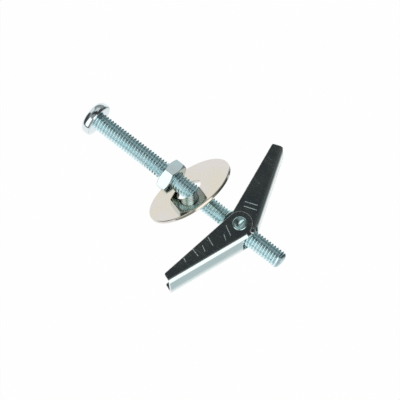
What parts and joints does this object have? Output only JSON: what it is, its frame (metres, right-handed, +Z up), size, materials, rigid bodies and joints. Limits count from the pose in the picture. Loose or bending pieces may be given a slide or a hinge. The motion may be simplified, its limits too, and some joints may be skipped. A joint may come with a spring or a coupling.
{
  "type": "spring toggle bolt",
  "caption": "Zinc-plated machine screw with a hex nut, a large loose washer and a sprung toggle whose folded sheet wings stand open.",
  "frame": {"origin": "on the surface it lies on, under the middle of its bounding box", "axes": "+X along the bolt from its head to its end, lengthwise over the surface, +Y across towards the wing with the raised web, +Z up"},
  "size_m": [0.1063, 0.0787, 0.0293],
  "materials": {
    "bolt": "bright zinc plating",
    "nut": "bright zinc plating",
    "washer": "bright zinc plating, smooth",
    "trunnion": "blue-green zinc plating",
    "wing": "zinc plating with tool marks",
    "spring": "plain spring wire"
  },
  "bodies": {
    "bolt": {"bolt": "bolt"},
    "nut": {"hex_nut": "nut"},
    "washer": {"washer": "washer"},
    "trunnion": {"trunnion_nut": "trunnion", "torsion_spring": "spring"},
    "wing_a": {"wing_a": "wing"},
    "wing_b": {"wing_b": "wing"}
  },
  "joints": [
    {"name": "nut_travel", "type": "slide", "parent": "bolt", "child": "nut", "axis": [0.9888, 0, -0.1494], "range_m": [-0.0378, 0]},
    {"name": "washer_slide", "type": "slide", "parent": "bolt", "child": "washer", "axis": [0.9888, 0, -0.1494], "range_m": [0, 0.009]},
    {"name": "toggle_travel", "type": "slide", "parent": "bolt", "child": "trunnion", "axis": [0.9888, 0, -0.1494], "range_m": [-0.009, 0.0178]},
    {"name": "wing_a_fold", "type": "hinge", "parent": "trunnion", "child": "wing_a", "pos_m": [0.03034, 0, 0.00936], "axis": [-0.1489, 0.0854, -0.9852], "range_deg": [0, 30], "stiffness_Nm_per_rad": 0.03, "springref_deg": -57.3, "deforming": ["torsion_spring"]},
    {"name": "wing_b_fold", "type": "hinge", "parent": "trunnion", "child": "wing_b", "pos_m": [0.03034, 0, 0.00936], "axis": [0.1489, -0.0854, 0.9852], "range_deg": [0, 24], "stiffness_Nm_per_rad": 0.03, "springref_deg": -57.3, "deforming": ["torsion_spring"]}
  ]
}
